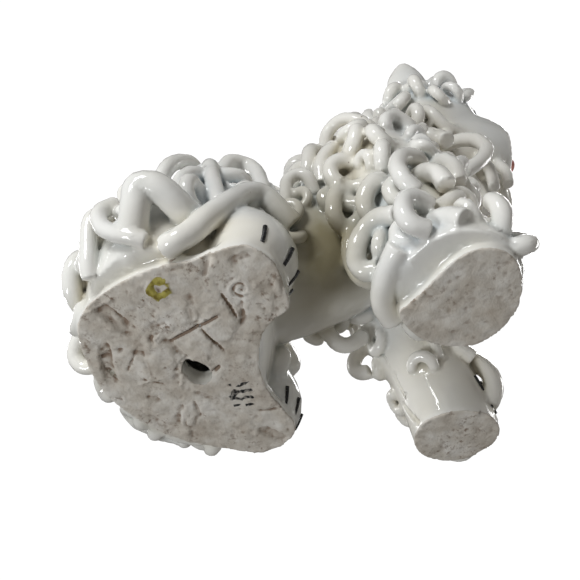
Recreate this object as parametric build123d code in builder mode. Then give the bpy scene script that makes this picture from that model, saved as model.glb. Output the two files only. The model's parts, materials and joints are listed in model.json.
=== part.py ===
"""Seated guardian lion ("foo dog") in white-glazed earthenware, dressed in hand-rolled clay coils.

The hollow body is luted together from separate clay members: seat slab, haunch, torso, neck, head,
legs and paws. Everything is in millimetres. +X is the animal's left, -Y its front and +Z is up; the
seat and the forepaws stand on Z = 0.
"""

import math
import os
import random

import numpy as np
from build123d import *

os.makedirs("parts", exist_ok=True)

# ---------------------------------------------------------------------------------------------
# Driving dimensions
# ---------------------------------------------------------------------------------------------
WALL = 6.0  # thickness of the hollow clay walls
SLAB = 8.0  # thickness of the seat slab and of the paw soles
INLAY = 0.8  # thickness of painted marks and of the glue residue
CLAW = 1.3  # radius of the brushed claw lines, which are sunk in the glaze
FAT_COIL = 8.0  # radius of the fat coils on the haunch
COIL = 6.3  # radius of the coils on the mane and forelegs
THIN_COIL = 4.6  # radius of the coils on the head, the beard and the tail tip
GAP = 0.3  # least space left between two coils
CENTRE_SHIFT = (-6.0, -6.5, 0.0)  # sets the middle of the finished coat over the origin

# Members are stacks of elliptical sections:
# x, y, z, forward lean of the axis in degrees, half width, half depth.
HAUNCH = [
    (4, 89, 8, 0, 77, 50),
    (2, 89, 34, 0, 81, 55),
    (0, 84, 65, 0, 77, 55),
    (-2, 77, 95, 0, 64, 48),
    (-2, 72, 114, 0, 44, 34),
    (-2, 68, 124, 0, 18, 15),
]
TORSO = [
    (-2, 62, 76, 80, 52, 49),
    (-3, 35, 82, 72, 48, 47),
    (-3, 7, 96, 58, 46, 49),
    (-3, -18, 122, 42, 49, 52),
    (-2, -39, 156, 24, 54, 59),
    (0, -49, 190, 20, 49, 55),
]
NECK = [
    (0, -49, 190, 20, 49, 55),
    (0, -58, 214, 28, 45, 46),
    (0, -72, 236, 34, 42, 42),
]
HEAD = [
    (0, -52, 250, 90, 30, 28),
    (0, -62, 251, 90, 46, 42),
    (0, -82, 253, 90, 54, 50),
    (0, -104, 253, 90, 52, 49),
    (0, -122, 252, 90, 44, 42),
    (0, -133, 251, 90, 31, 30),
    (0, -139, 250, 90, 12, 12),
]
FORELEG_RIGHT = [
    (-35, -72, 8, 0, 34, 32),
    (-36, -68, 24, 0, 32, 33),
    (-38, -60, 48, 0, 28, 28),
    (-40, -52, 82, 0, 29, 29),
    (-42, -44, 120, 0, 32, 33),
    (-40, -40, 150, 0, 32, 33),
]
FORELEG_LEFT = [
    (78, -74, 8, 0, 25, 27),
    (74, -71, 24, 0, 25, 27),
    (69, -64, 48, 0, 26, 27),
    (60, -51, 82, 0, 28, 29),
    (48, -42, 120, 0, 31, 33),
    (40, -38, 150, 0, 32, 33),
]
HIND_FOOT_RIGHT = [
    (-50, 40, 8, 0, 24, 20),
    (-50, 37, 20, 0, 27, 24),
    (-50, 40, 36, 0, 26, 24),
    (-50, 48, 52, 0, 20, 20),
]
HIND_FOOT_LEFT = [
    (62, 47, 8, 0, 23, 20),
    (60, 46, 20, 0, 26, 24),
    (59, 49, 36, 0, 25, 24),
    (57, 56, 52, 0, 20, 20),
]
TAIL = [
    (0, 130, 30, -14, 14, 13),
    (0, 137, 58, -6, 20, 17),
    (0, 135, 90, 12, 22, 18),
    (0, 125, 122, 22, 19, 16),
    (0, 113, 146, 28, 10, 9),
]
MUZZLE_SECTIONS = [  # y, middle z, width, height, corner radius
    (-104, 230, 82, 66, 28),
    (-122, 229, 76, 62, 26),
    (-142, 229, 64, 56, 23),
    (-153, 228, 50, 46, 19),
]
RIGHT_SOLE = [
    (-28, -41),
    (-46, -58),
    (-60, -74),
    (-60, -88),
    (-40, -101),
    (-16, -98),
    (1, -80),
    (-2, -57),
    (-12, -45),
]
LEFT_SOLE = [
    (62, -55),
    (55, -70),
    (60, -93),
    (76, -100),
    (92, -92),
    (101, -70),
    (92, -52),
    (77, -48),
]
SEAT_OUTLINE = [  # the kidney shape of the seat, front right foot first
    (-31, 22),
    (-14, 37),
    (6, 41),
    (27, 39),
    (45, 31),
    (60, 26),
    (72, 31),
    (82, 46),
    (76, 76),
    (64, 104),
    (48, 121),
    (20, 137),
    (-10, 140),
    (-36, 134),
    (-54, 112),
    (-66, 82),
    (-70, 58),
    (-74, 36),
    (-64, 24),
    (-47, 20),
]
VENT = (9, 78)  # middle of the firing vent through the seat
VENT_SIZE = (21, 17)
GLUE = (-53, 86)  # middle of the ring of old glue under the seat
TALLY = (20, 54)  # first stroke of the tally painted under the seat
EYE = (22, -127, 272)  # middle of the left eyeball; the right one mirrors it
EYE_RADIUS = 11.0
MOUTH = (44, 19, 223)  # width, height and middle height of the open mouth
MOUTH_BACK = -126  # how far back the mouth is hollowed, on Y
LIP_FRONT = -153  # front of the muzzle, on Y


# ---------------------------------------------------------------------------------------------
# Members and points on them
# ---------------------------------------------------------------------------------------------
def section_plane(section):
    """The plane of one section: local x to the animal's left, local z up the member's axis."""
    x, y, z, lean = section[:4]
    lean = math.radians(lean)
    return Plane(origin=(x, y, z), x_dir=(1, 0, 0), z_dir=(0, -math.sin(lean), math.cos(lean)))


def sections_of(member, inset=0.0):
    """The ellipses that a member is lofted through, shrunk all round by the inset."""
    faces = []
    for section in member:
        with BuildSketch(section_plane(section)) as profile:
            Ellipse(section[4] - inset, section[5] - inset)
        faces.append(profile.sketch)
    return faces


def raised_floor(member):
    """The member with its first section lifted by a wall, so that a core leaves a clay floor."""
    x, y, z, lean, half_width, half_depth = member[0]
    return [(x, y, z + WALL, lean, half_width, half_depth)] + member[1:]


def section_at(member, station):
    """The section at a fractional station, on a smooth curve through the member's sections."""
    index = min(int(station), len(member) - 2)
    t = station - index
    before = member[max(index - 1, 0)]
    after = member[min(index + 2, len(member) - 1)]
    values = []
    for a, b, c, d in zip(before, member[index], member[index + 1], after):
        slope_in, slope_out = (c - a) / 2, (d - b) / 2
        bend_in, bend_out = slope_in - (c - b), (c - b) - slope_out
        values.append(b + t * (c - b) + t * (1 - t) * ((1 - t) * bend_in + t * bend_out))
    return values


def point_on(member, station, bearing, lift):
    """A point off a member's surface; the bearing runs from its left side round by the back."""
    section = section_at(member, station)
    plane = section_plane(section)
    bearing = math.radians(bearing)
    across = (section[4] + lift) * math.cos(bearing)
    along = (section[5] + lift) * math.sin(bearing)
    return plane.from_local_coords(Vector(across, along, 0))


def frame_on(member, station, bearing, lift):
    """A point off a member with the directions outwards and up the member's surface there."""
    here = point_on(member, station, bearing, lift)
    step = 0.05
    last = len(member) - 1
    above = point_on(member, min(station + step, last), bearing, lift)
    below = point_on(member, max(station - step, 0), bearing, lift)
    beside = point_on(member, station, bearing + 2, lift)
    up = (above - below).normalized()
    out = (beside - here).cross(up).normalized()
    return here, out, up


# ---------------------------------------------------------------------------------------------
# Coils
# ---------------------------------------------------------------------------------------------
laid_points = []  # centreline points of every coil laid so far, one array for each coil
laid_radii = []  # the coil radius at each of those points


def is_clear(points, radius):
    """True where a new coil would keep its gap to every coil laid so far."""
    if not laid_points:
        return True
    new = np.array([tuple(p) for p in points])
    old = np.concatenate(laid_points)
    distance = np.linalg.norm(new[:, None, :] - old[None, :, :], axis=2)
    return bool((distance - np.concatenate(laid_radii)[None, :] >= radius + GAP).all())


def remember(points, radius):
    """Add a coil's centreline to the list that later coils keep clear of."""
    laid_points.append(np.array([tuple(p) for p in points]))
    laid_radii.append(np.full(len(points), radius))


def bend_radii(points):
    """The largest arc radius that each corner of a coil's route has room for."""
    radii = []
    for a, b, c in zip(points, points[1:], points[2:]):
        turn = math.radians((b - a).get_angle(c - b))
        radii.append(0.45 * min((b - a).length, (c - b).length) / math.tan(turn / 2))
    return radii


def strand(points, radius):
    """A hand-laid coil swept along straight runs joined by tangent arcs, in the current part."""
    with BuildLine() as path:
        FilletPolyline(*points, radius=bend_radii(points))
    wire = path.wire()
    with BuildSketch(Plane(origin=wire @ 0, z_dir=wire % 0)) as profile:
        Circle(radius)
    sweep(sections=profile.sketch, path=wire)
    samples = max(6, int(wire.length / radius))
    remember([wire @ (i / samples) for i in range(samples + 1)], radius)


def points_of(route):
    """The points of a route given as plain x, y, z."""
    return [Vector(*stop) for stop in route]


def along(member, route):
    """The points of a route given as (station, bearing, lift) on a member."""
    return [point_on(member, *stop) for stop in route]


def curl_plane(member, station, bearing, lift, heading, tilt):
    """The plane of a C-shaped coil whose crown points along the heading and rises by the tilt."""
    here, out, up = frame_on(member, station, bearing, lift)
    side = out.cross(up)
    heading, tilt = math.radians(heading), math.radians(tilt)
    crown = up * math.cos(heading) + side * math.sin(heading)
    x_dir = crown * math.cos(tilt) + out * math.sin(tilt)
    z_dir = out * math.cos(tilt) - crown * math.sin(tilt)
    return Plane(origin=here, x_dir=x_dir, z_dir=z_dir)


def curl_samples(plane, bend, turn):
    """Points along the centreline of a C-shaped coil."""
    count = max(6, int(turn / 25))
    points = []
    for i in range(count + 1):
        angle = math.radians(turn * (i / count - 0.5))
        local = Vector(bend * math.cos(angle), bend * math.sin(angle), 0)
        points.append(plane.from_local_coords(local))
    return points


def curl(plane, bend, turn, radius):
    """A C-shaped coil in its plane, added to the current part."""
    with Locations(plane.rotated((0, 0, -turn / 2))):
        Torus(bend, radius, major_angle=turn, align=None)
    remember(curl_samples(plane, bend, turn), radius)


def clothe(member, stations, bearings, radius, tries, seed, keep_out=()):
    """Cover a stretch of a member with C-shaped coils wherever there is room for one."""
    dice = random.Random(seed)
    for _ in range(tries):
        station = dice.uniform(*stations)
        bearing = dice.uniform(*bearings)
        bend = radius * dice.uniform(1.35, 2.1)
        turn = dice.uniform(170, 290)
        heading = dice.uniform(0, 360)
        tilt = dice.uniform(10, 55)
        lift = radius * dice.uniform(0.2, 1.1)
        plane = curl_plane(member, station, bearing, lift, heading, tilt)
        points = curl_samples(plane, bend, turn)
        if min(p.Z for p in points) < radius + GAP or not is_clear(points, radius):
            continue
        if any(solid.is_inside(p) for solid in keep_out for p in points[1:-1]):
            continue
        curl(plane, bend, turn, radius)


def bed_on(*bodies):
    """Cut the current coils to the clay bodies that they are pressed on."""
    for body in bodies:
        add(body.part, mode=Mode.SUBTRACT)


def finish(builder, name):
    """Set a finished piece in the row's frame, label it and write it as a STEP file."""
    piece = builder.part.moved(Location(CENTRE_SHIFT))
    piece.label = name
    export_step(piece, f"parts/{name}.step")


# ---------------------------------------------------------------------------------------------
# Clay bodies that the pieces are cut from
# ---------------------------------------------------------------------------------------------
with BuildPart() as haunch_body:
    loft(sections_of(HAUNCH))

with BuildPart() as haunch_core:
    loft(sections_of(raised_floor(HAUNCH[:-1]), WALL))

with BuildPart() as torso_body:
    loft(sections_of(TORSO))

with BuildPart() as torso_core:
    loft(sections_of(TORSO, WALL))

with BuildPart() as head_body:
    loft(sections_of(HEAD))

with BuildPart() as neck_body:
    loft(sections_of(NECK))

with BuildPart() as right_leg:
    loft(sections_of(FORELEG_RIGHT))

with BuildPart() as left_leg:
    loft(sections_of(FORELEG_LEFT))

with BuildPart() as right_foot:
    loft(sections_of(HIND_FOOT_RIGHT))

with BuildPart() as left_foot:
    loft(sections_of(HIND_FOOT_LEFT))

with BuildPart() as tail_body:
    loft(sections_of(TAIL))

# ---------------------------------------------------------------------------------------------
# Seat, haunch and hind feet
# ---------------------------------------------------------------------------------------------
with BuildPart() as glue_ring:
    with BuildSketch() as residue:
        with Locations(GLUE):
            Ellipse(7.5, 6.5, rotation=30)
            Ellipse(3.5, 2.5, rotation=-20, mode=Mode.SUBTRACT)
    extrude(amount=INLAY)
finish(glue_ring, "glue_ring")

with BuildPart() as seat_tally:
    with BuildSketch() as strokes:
        for i in range(4):
            with Locations((TALLY[0] + 6 * i, TALLY[1] + 0.5 * i)):
                Rectangle(1.4, 13, rotation=-8 + 3 * i)
    extrude(amount=INLAY)
finish(seat_tally, "seat_tally")

with BuildPart() as seat_slab:
    with BuildSketch() as seat_outline:
        with BuildLine():
            Spline(*SEAT_OUTLINE, periodic=True)
        make_face()
    extrude(amount=SLAB)
    with BuildSketch() as vent:
        with Locations(VENT):
            Ellipse(VENT_SIZE[0] / 2, VENT_SIZE[1] / 2, rotation=-20)
    extrude(amount=SLAB, mode=Mode.SUBTRACT)
    add(glue_ring.part, mode=Mode.SUBTRACT)
    add(seat_tally.part, mode=Mode.SUBTRACT)
finish(seat_slab, "seat_slab")

with BuildPart() as haunch_shell:
    add(haunch_body.part)
    add(haunch_core.part, mode=Mode.SUBTRACT)
    add(torso_core.part, mode=Mode.SUBTRACT)
    with BuildSketch(Plane.XY.offset(SLAB)) as vent_in_floor:
        with Locations(VENT):
            Ellipse(VENT_SIZE[0] / 2, VENT_SIZE[1] / 2, rotation=-20)
    extrude(amount=2 * WALL, mode=Mode.SUBTRACT)
finish(haunch_shell, "haunch_shell")

with BuildPart() as torso_shell:
    add(torso_body.part)
    add(torso_core.part, mode=Mode.SUBTRACT)
    add(haunch_body.part, mode=Mode.SUBTRACT)
finish(torso_shell, "torso_shell")

with BuildPart() as hind_foot_right:
    add(right_foot.part)
    add(haunch_body.part, mode=Mode.SUBTRACT)
    add(torso_body.part, mode=Mode.SUBTRACT)
finish(hind_foot_right, "hind_foot_right")

with BuildPart() as hind_foot_left:
    add(left_foot.part)
    add(haunch_body.part, mode=Mode.SUBTRACT)
    add(torso_body.part, mode=Mode.SUBTRACT)
finish(hind_foot_left, "hind_foot_left")

# ---------------------------------------------------------------------------------------------
# Forelegs: rolled slabs of clay on solid soles
# ---------------------------------------------------------------------------------------------
with BuildPart() as foreleg_right:
    add(right_leg.part)
    loft(sections_of(raised_floor(FORELEG_RIGHT), WALL), mode=Mode.SUBTRACT)
    add(torso_body.part, mode=Mode.SUBTRACT)
finish(foreleg_right, "foreleg_right")

with BuildPart() as foreleg_left:
    add(left_leg.part)
    loft(sections_of(raised_floor(FORELEG_LEFT), WALL), mode=Mode.SUBTRACT)
    add(torso_body.part, mode=Mode.SUBTRACT)
finish(foreleg_left, "foreleg_left")

forepaw_soles = {}
for side, outline in (("right", RIGHT_SOLE), ("left", LEFT_SOLE)):
    with BuildPart() as forepaw_sole:
        with BuildSketch() as sole_outline:
            with BuildLine():
                Spline(*outline, periodic=True)
            make_face()
        extrude(amount=SLAB)
    forepaw_soles[side] = forepaw_sole
    finish(forepaw_sole, f"forepaw_sole_{side}")

# ---------------------------------------------------------------------------------------------
# Neck and head
# ---------------------------------------------------------------------------------------------
with BuildPart() as neck_shell:
    add(neck_body.part)
    loft(sections_of(NECK, WALL), mode=Mode.SUBTRACT)
    add(head_body.part, mode=Mode.SUBTRACT)
finish(neck_shell, "neck_shell")

with BuildPart() as head_shell:
    add(head_body.part)
    loft(sections_of(HEAD[1:-1], WALL), mode=Mode.SUBTRACT)
finish(head_shell, "head_shell")

with BuildPart() as muzzle:
    for y, z, width, height, corner in MUZZLE_SECTIONS:
        with BuildSketch(Plane(origin=(0, y, z), x_dir=(1, 0, 0), z_dir=(0, -1, 0))):
            RectangleRounded(width, height, corner)
    loft()
    with BuildSketch(Plane(origin=(0, LIP_FRONT, MOUTH[2]), x_dir=(1, 0, 0), z_dir=(0, -1, 0))):
        RectangleRounded(MOUTH[0], MOUTH[1], 8.5)
    extrude(amount=LIP_FRONT - MOUTH_BACK, mode=Mode.SUBTRACT)
    add(head_body.part, mode=Mode.SUBTRACT)
finish(muzzle, "muzzle")

for side, sign in (("right", -1), ("left", 1)):
    middle = (sign * EYE[0], EYE[1], EYE[2])
    gaze = Plane(origin=middle, x_dir=(1, 0, 0), z_dir=(sign * 0.22, -1, -0.05))
    with BuildPart() as eyeball:
        with Locations(middle):
            Sphere(EYE_RADIUS)
        add(head_body.part, mode=Mode.SUBTRACT)
        add(muzzle.part, mode=Mode.SUBTRACT)
    with BuildPart() as pupil:
        with Locations(middle):
            Sphere(EYE_RADIUS + 0.5)
            Sphere(EYE_RADIUS, mode=Mode.SUBTRACT)
        with Locations(gaze):
            Cylinder(
                4.2,
                EYE_RADIUS + 3,
                align=(Align.CENTER, Align.CENTER, Align.MIN),
                mode=Mode.INTERSECT,
            )
    finish(eyeball, f"eyeball_{side}")
    finish(pupil, f"pupil_{side}")

with BuildPart() as nose:
    with Locations((0, -151, 251)):
        Sphere(8.5)
    with Locations((-8.5, -148, 249), (8.5, -148, 249)):
        Sphere(6.5)
    add(muzzle.part, mode=Mode.SUBTRACT)
finish(nose, "nose")

with BuildPart() as tongue:
    with BuildSketch(Plane.XY.offset(MOUTH[2] - MOUTH[1] / 2 + GAP)) as tongue_outline:
        with Locations((0, LIP_FRONT + 13)):
            SlotOverall(36, 20, rotation=90)
    extrude(amount=5)
    fillet(tongue.edges().group_by(Axis.Z)[-1], 2.2)
finish(tongue, "tongue")

with BuildPart() as teeth_upper:
    for i in range(6):
        with Locations((-12.5 + 5 * i, LIP_FRONT + 5, MOUTH[2] + MOUTH[1] / 2 - 2.5)):
            Box(4.4, 4.5, 5)
finish(teeth_upper, "teeth_upper")

with BuildPart() as fangs:
    for x in (-17.5, 17.5):
        with Locations((x, LIP_FRONT + 4, MOUTH[2] + 1.5)):
            Cone(0.8, 3.0, 12)
finish(fangs, "fangs")

ears = {}
for side, sign in (("right", -1), ("left", 1)):
    with BuildPart() as ear:
        for reach, width, depth in ((0, 15, 9), (9, 17, 10), (20, 12, 7), (28, 3, 2)):
            tip = (sign * (44 + 0.75 * reach), -80 + 0.1 * reach, 282 + 0.75 * reach)
            with BuildSketch(Plane(origin=tip, x_dir=(0, 1, 0), z_dir=(sign * 0.75, 0.1, 0.75))):
                Ellipse(width, depth)
        loft()
        add(head_body.part, mode=Mode.SUBTRACT)
    ears[side] = ear
    finish(ear, f"ear_{side}")
    remember([Vector(sign * (46 + 0.75 * r), -80, 284 + 0.75 * r) for r in (0, 9, 18, 26)], 11)

with BuildPart() as tail_core:
    add(tail_body.part)
    add(haunch_body.part, mode=Mode.SUBTRACT)
finish(tail_core, "tail_core")

# ---------------------------------------------------------------------------------------------
# Coils: those laid one by one first, then the curls that fill the coat between them
# ---------------------------------------------------------------------------------------------
with BuildPart() as haunch_coils_right:
    for radius, route in (
        (FAT_COIL, [
            (0.4, 172, 2), (0.7, 176, 12), (1.1, 176, 18), (1.0, 186, 16), (0.9, 194, 9),
            (1.0, 201, 2),
        ]),
        (THIN_COIL, [
            (0.15, 181, 3), (0.2, 174, 6), (0.3, 166, 8), (0.6, 157, 10), (1.0, 154, 14),
            (1.4, 157, 9),
        ]),
        (THIN_COIL, [(0.05, 140, 3), (0.3, 142, 6), (0.9, 144, 10), (1.3, 146, 14), (1.45, 152, 6)]),
        (4.4, [(1.75, 186, 2), (2.1, 184, 7), (2.5, 186, 9), (2.7, 194, 4)]),
        (5.2, [(0.6, 112, 3), (0.6, 118, 9), (0.9, 124, 12), (1.3, 126, 10), (1.5, 120, 3)]),
    ):
        strand(along(HAUNCH, route), radius)
    hip = along(HAUNCH, [(0.1, 192, 1), (0.05, 197, 7), (0.25, 202, 9), (0.6, 207, 12)])
    strand(hip + points_of([
        (-78, 49, 42), (-71, 42, 66), (-66, 34, 74), (-60, 25, 66), (-51, 16, 60),
    ]), 6.6)
    for radius, route in (
        (5.0, [(-73, 56, 52), (-78, 62, 74), (-75, 67, 100), (-68, 72, 116), (-56, 73, 116)]),
        (5.0, [
            (-62, 66, 116), (-64, 60, 132), (-58, 50, 137), (-56, 42, 126), (-56, 37, 104),
            (-50, 36, 94),
        ]),
        (4.5, [(-42, 42, 124), (-50, 34, 114), (-46, 30, 98)]),
        (5.0, [(-72, 97, 66), (-81, 93, 86), (-78, 90, 106), (-70, 84, 120), (-58, 80, 121)]),
    ):
        strand(points_of(route), radius)
    clothe(HAUNCH, (0.6, 2.9), (112, 205), COIL, 700, 4)
    clothe(HAUNCH, (2.0, 4.4), (120, 250), THIN_COIL, 700, 5, [torso_body.part])
    bed_on(haunch_body, torso_body, right_foot)
finish(haunch_coils_right, "haunch_coils_right")

with BuildPart() as foreleg_coils_right:
    for radius, route in (
        (6.8, [(-57, -41, 16), (-48, -36, 14), (-36, -32, 13), (-24, -31, 12), (-12, -37, 11)]),
        (5.5, [
            (-64, -42, 38), (-60, -32, 45), (-54, -25, 44), (-48, -19, 34), (-42, -18, 28),
            (-38, -22, 23), (-40, -30, 22),
        ]),
        (5.0, [
            (-52, -28, 68), (-44, -20, 66), (-40, -16, 54), (-34, -15, 43), (-28, -20, 33),
            (-26, -28, 30),
        ]),
        (5.2, [
            (-68, -60, 36), (-74, -52, 37), (-76, -45, 32), (-75, -43, 21), (-71, -46, 14),
            (-67, -55, 14),
        ]),
        (6.2, [(-64, -60, 27), (-69, -66, 22), (-71, -73, 14)]),
        (5.0, [(-62, -62, 38), (-66, -71, 44), (-63, -78, 53)]),
        (5.2, [
            (-68, -63, 88), (-75, -59, 85), (-79, -50, 80), (-80, -45, 66), (-79, -46, 52),
            (-72, -54, 47),
        ]),
        (5.6, [(-64, -55, 74), (-72, -62, 72), (-74, -69, 62), (-72, -71, 52)]),
        (5.3, [(-56, -70, 86), (-66, -75, 98), (-68, -81, 86), (-62, -82, 73)]),
        (6.8, [(-52, -62, 126), (-62, -63, 118), (-74, -65, 106)]),
        (4.0, [(-52, -68, 160), (-60, -70, 156), (-67, -73, 149)]),
        (5.2, [
            (-48, -88, 119), (-54, -93, 116), (-57, -88, 108), (-57, -84, 92), (-55, -87, 78),
            (-48, -93, 75), (-42, -84, 72),
        ]),
        (5.0, [(-56, -80, 42), (-50, -90, 45), (-40, -95, 50), (-30, -88, 52)]),
    ):
        strand(points_of(route), radius)
    strand(along(FORELEG_RIGHT, [
        (2.85, 150, 1), (2.75, 144, 7), (2.6, 132, 9), (2.4, 122, 9), (2.4, 114, 1),
    ]), 5.6)
    clothe(FORELEG_RIGHT, (1.2, 4.3), (70, 240), 5.2, 900, 11, [torso_body.part])
    clothe(FORELEG_RIGHT, (2.0, 4.3), (240, 430), 5.2, 900, 12, [torso_body.part])
    bed_on(right_leg, torso_body, forepaw_soles["right"])
finish(foreleg_coils_right, "foreleg_coils_right")

with BuildPart() as mane_coils_right:
    for radius, route in (
        (5.0, [
            (2.9, 194, 1), (2.45, 196, 9), (2.1, 202, 12), (1.9, 214, 12), (2.0, 224, 8),
            (2.2, 230, 1),
        ]),
        (5.4, [
            (3.0, 194, 1), (3.0, 184, 10), (3.25, 178, 13), (3.5, 182, 14), (3.6, 192, 12),
            (3.75, 201, 2),
        ]),
        (4.6, [(2.45, 174, 1), (2.7, 166, 10), (3.2, 164, 12), (3.65, 167, 4)]),
        (5.2, [(2.4, 158, 1), (2.65, 157, 12), (3.1, 150, 16), (3.6, 146, 6)]),
        (4.6, [
            (4.1, 142, 4), (4.25, 146, 12), (4.4, 152, 16), (4.4, 160, 18), (4.3, 170, 14),
            (4.35, 179, 5),
        ]),
        (4.8, [(3.9, 180, 6), (4.4, 190, 12), (4.9, 200, 10)]),
        (4.2, [(1.45, 181, 0), (1.75, 164, 10), (2.05, 165, 13), (2.2, 172, 10), (2.15, 180, 0)]),
    ):
        strand(along(TORSO, route), radius)
    strand(points_of([(-42, -78, 197), (-48, -84, 180), (-52, -91, 158)]), 5.8)
    strand(points_of([
        (-34, -90, 186), (-43, -106, 179), (-45, -116, 170), (-45, -119, 154), (-44, -111, 137),
        (-42, -98, 128),
    ]), 5.0)
    clothe(TORSO, (2.5, 4.9), (120, 235), COIL, 900, 21, [right_leg.part, head_body.part])
    clothe(NECK, (0.2, 1.9), (130, 240), 5.2, 700, 22, [head_body.part, muzzle.part])
    bed_on(torso_body, neck_body, head_body, muzzle, right_leg)
finish(mane_coils_right, "mane_coils_right")

with BuildPart() as chest_coils:
    clothe(TORSO, (3.0, 4.9), (236, 304), COIL, 700, 31, [right_leg.part, left_leg.part])
    clothe(NECK, (0.1, 1.2), (236, 304), 5.2, 500, 32, [head_body.part, muzzle.part])
    bed_on(torso_body, neck_body, head_body, muzzle, right_leg, left_leg)
finish(chest_coils, "chest_coils")

with BuildPart() as mane_coils_left:
    strand(points_of([(33, 12, 76), (37, 3, 64), (42, -4, 55), (45, -12, 57), (47, -22, 68)]), 5.4)
    clothe(TORSO, (2.5, 4.9), (-56, 60), COIL, 1500, 41, [left_leg.part, head_body.part])
    clothe(NECK, (0.2, 1.9), (-60, 50), 5.2, 900, 42, [head_body.part, muzzle.part])
    bed_on(torso_body, neck_body, head_body, muzzle, left_leg)
finish(mane_coils_left, "mane_coils_left")

with BuildPart() as nape_coils:
    clothe(TORSO, (2.6, 4.9), (60, 120), COIL, 900, 51)
    clothe(NECK, (0.2, 1.9), (50, 130), 5.4, 700, 52, [head_body.part])
    bed_on(torso_body, neck_body, head_body)
finish(nape_coils, "nape_coils")

with BuildPart() as crown_coils:
    strand(along(HEAD, [
        (2.2, 208, 2), (2.4, 216, 7), (2.8, 228, 7), (3.3, 232, 5), (3.8, 232, 0),
    ]), THIN_COIL)
    clothe(HEAD, (0.8, 3.3), (15, 165), 5.0, 1500, 61)
    clothe(HEAD, (0.8, 2.5), (165, 375), 5.0, 1200, 62, [muzzle.part])
    bed_on(head_body, neck_body, muzzle, ears["right"], ears["left"])
finish(crown_coils, "crown_coils")

with BuildPart() as beard_coils:
    for x, y, top, bottom in (
        (-18, -124, 198, 146),
        (-10, -139, 200, 164),
        (0, -134, 198, 150),
        (9, -141, 200, 168),
        (18, -128, 198, 152),
        (-2, -118, 198, 140),
    ):
        strand(points_of([(x, y, top + 4), (x - 2, y - 3, (top + bottom) / 2), (x, y, bottom)]), 4.2)
    bed_on(neck_body, muzzle, torso_body)
finish(beard_coils, "beard_coils")

with BuildPart() as foreleg_coils_left:
    for radius, route in (
        (6.0, [(60, -84, 60), (61, -96, 50), (60, -102, 37), (62, -102, 25), (66, -96, 16)]),
        (5.0, [(50, -72, 58), (47, -83, 50), (52, -92, 45)]),
        (4.0, [(47, -64, 60), (41, -67, 48), (45, -68, 38)]),
    ):
        strand(points_of(route), radius)
    clothe(FORELEG_LEFT, (0.9, 4.3), (-85, 35), 5.2, 1500, 71, [torso_body.part])
    clothe(FORELEG_LEFT, (2.6, 4.3), (30, 100), 5.2, 500, 72, [torso_body.part])
    bed_on(left_leg, torso_body)
finish(foreleg_coils_left, "foreleg_coils_left")

with BuildPart() as haunch_coils_left:
    clothe(HAUNCH, (0.9, 3.4), (-65, 65), FAT_COIL, 1000, 81, [torso_body.part, left_foot.part])
    clothe(HAUNCH, (0.9, 4.0), (-65, 65), 5.6, 1200, 82, [torso_body.part, left_foot.part])
    bed_on(haunch_body, torso_body, left_foot)
finish(haunch_coils_left, "haunch_coils_left")

with BuildPart() as tail_coils:
    clothe(TAIL, (0.3, 3.9), (-60, 240), 5.4, 1500, 91, [haunch_body.part])
    bed_on(tail_body, haunch_body)
finish(tail_coils, "tail_coils")

with BuildPart() as rump_coils:
    strand(points_of([(-12, 137, 27), (-7, 151, 25), (3, 156, 17), (8, 149, 10), (6, 138, 11)]), 4.5)
    clothe(HAUNCH, (0.5, 4.4), (66, 111), COIL, 1000, 92, [tail_core.part])
    clothe(HAUNCH, (2.8, 4.6), (-70, 66), THIN_COIL, 500, 93, [torso_body.part, tail_core.part])
    bed_on(haunch_body, tail_body, torso_body)
finish(rump_coils, "rump_coils")

with BuildPart() as back_coils:
    clothe(TORSO, (1.1, 2.5), (55, 125), COIL, 700, 94, [haunch_body.part])
    bed_on(torso_body, haunch_body)
finish(back_coils, "back_coils")

# ---------------------------------------------------------------------------------------------
# Painted and applied details
# ---------------------------------------------------------------------------------------------
with BuildPart() as teeth_lower:
    for x in (-17.6, -13.1, 13.1, 17.6):
        with Locations((x, LIP_FRONT + 4.5, MOUTH[2] - MOUTH[1] / 2 + 2.1)):
            Box(4.0, 4.5, 4.2)
finish(teeth_lower, "teeth_lower")

for place, member, body, bearings, stations in (
    ("hind_right", HIND_FOOT_RIGHT, right_foot, (208, 252, 284, 312), (0.15, 0.5, 0.9)),
    ("hind_left", HIND_FOOT_LEFT, left_foot, (332, 290, 256, 228), (0.15, 0.5, 0.9)),
    ("fore_right", FORELEG_RIGHT, right_leg, (264, 279, 294, 309), (0.35, 0.9, 1.4)),
    ("fore_left", FORELEG_LEFT, left_leg, (236, 251, 266, 281), (0.35, 0.9, 1.4)),
):
    low, middle, high = stations
    with BuildPart() as claws:
        for bearing in bearings:
            line = [(low, bearing + 3, 0.3), (middle, bearing, 0.3), (high, bearing - 4, 0.3)]
            strand(along(member, line), CLAW)
        bed_on(body)
    finish(claws, f"claws_{place}")

with BuildPart() as whisker_dots:
    for sign in (-1, 1):
        with Locations((sign * 39.6, -110, 227), (sign * 27.6, -120, 203)):
            Sphere(2.3)
    bed_on(muzzle, head_body)
finish(whisker_dots, "whisker_dots")
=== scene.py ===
"""The foo dog statue's looks: one glaze over the whole coil coat, bare clay under it, and the studio.

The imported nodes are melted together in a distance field, as slip and glaze do in the kiln, with small curls
pressed into the gaps of the coat. The skin of that field is cut back into one piece for each melted node.
All sizes are in metres, in the part's own frame, unless a comment says millimetres.
"""

import json
import math

import bpy
import numpy as np
import openvdb as vdb
from mathutils import Matrix, Vector, kdtree


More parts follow.
